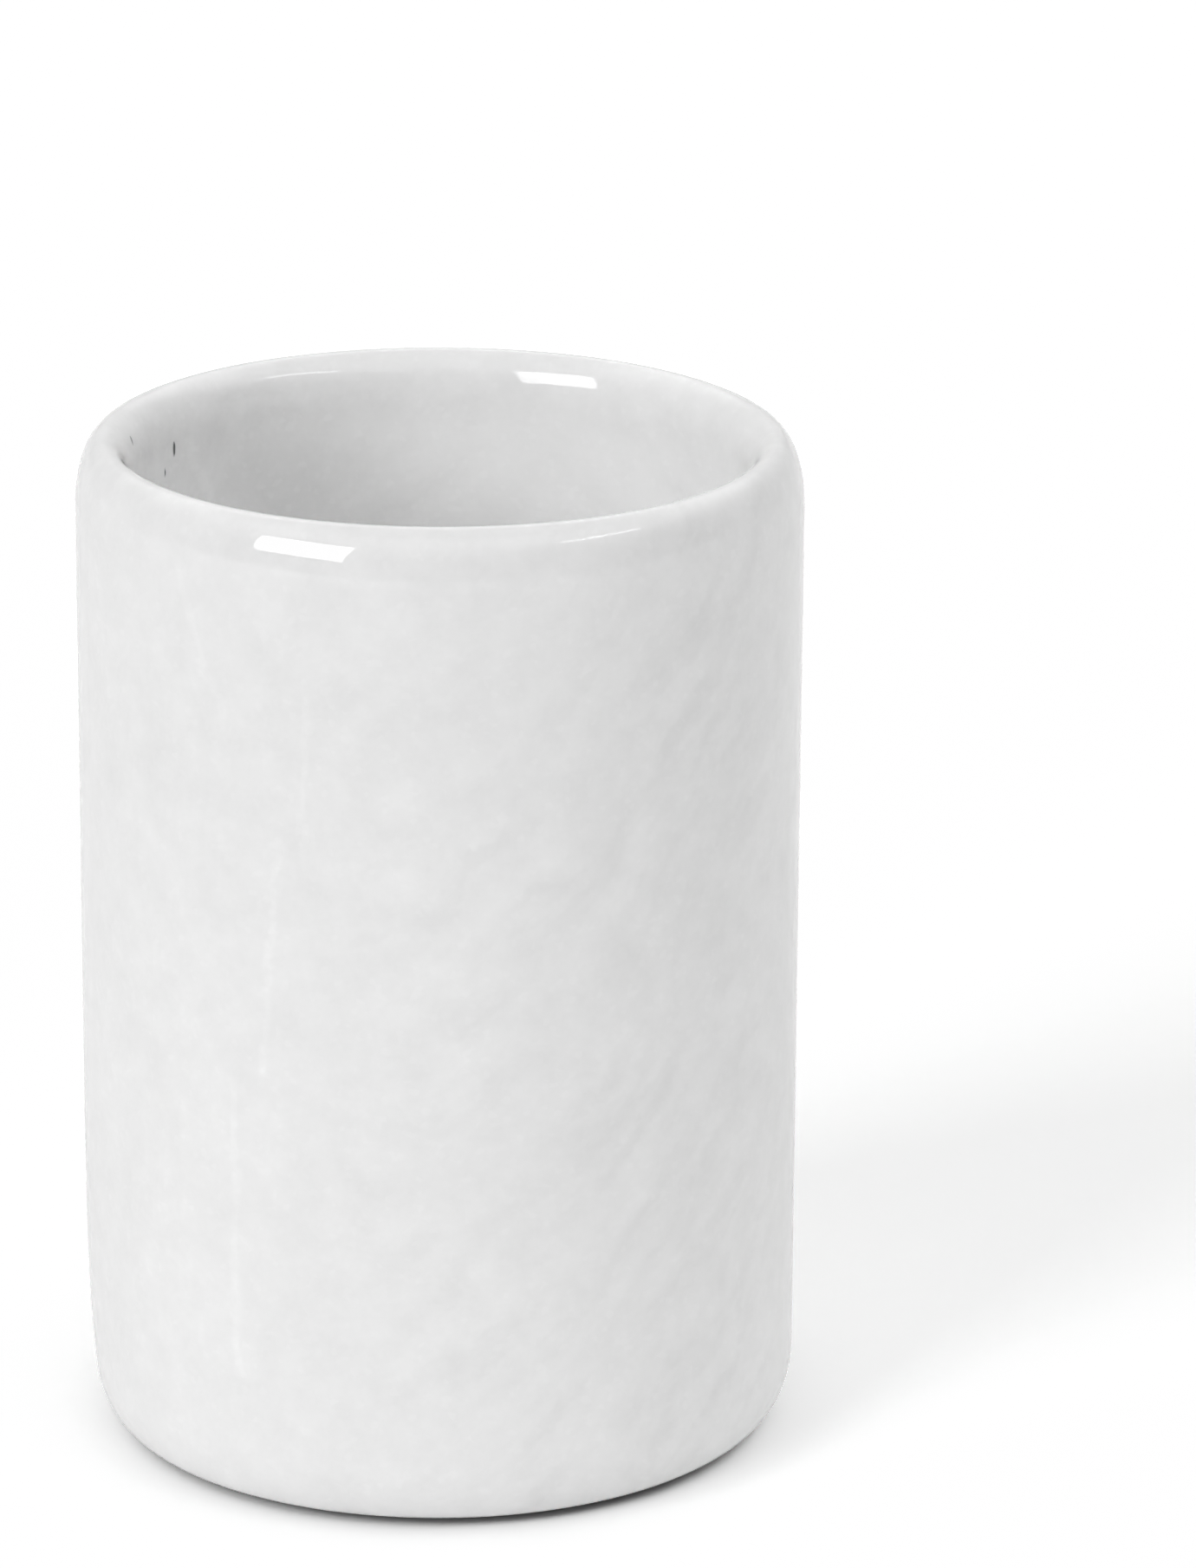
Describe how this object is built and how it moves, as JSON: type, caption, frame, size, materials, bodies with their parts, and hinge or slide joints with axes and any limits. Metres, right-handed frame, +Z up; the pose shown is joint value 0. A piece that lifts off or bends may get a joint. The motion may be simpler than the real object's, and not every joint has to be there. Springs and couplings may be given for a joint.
{
  "type": "pen holder cup",
  "caption": "Cylindrical marble desk cup with a straight round cavity and fully rounded lip, on stick-on pads; holds pens and pencils upright.",
  "frame": {"origin": "centre of the footprint on the desk, on the plane that the pads' undersides share", "axes": "+Z up along the cup's axis and out of its mouth, -Y to the front, +X to the right seen from the front"},
  "size_m": [0.09, 0.09, 0.1282],
  "materials": {
    "marble": "polished natural white marble, neutral, with faint grey clouding and streaks",
    "foam_pad": "black closed-cell foam, fine matt grain",
    "adhesive_film": "clear to cream double-sided film"
  },
  "bodies": {
    "root": {"cup_body": "marble", "foot_pad_front": "foam_pad", "foot_pad_right": "foam_pad", "foot_pad_back": "foam_pad", "foot_pad_left": "foam_pad", "adhesive_film_front": "adhesive_film", "adhesive_film_right": "adhesive_film", "adhesive_film_back": "adhesive_film", "adhesive_film_left": "adhesive_film"}
  },
  "joints": []
}
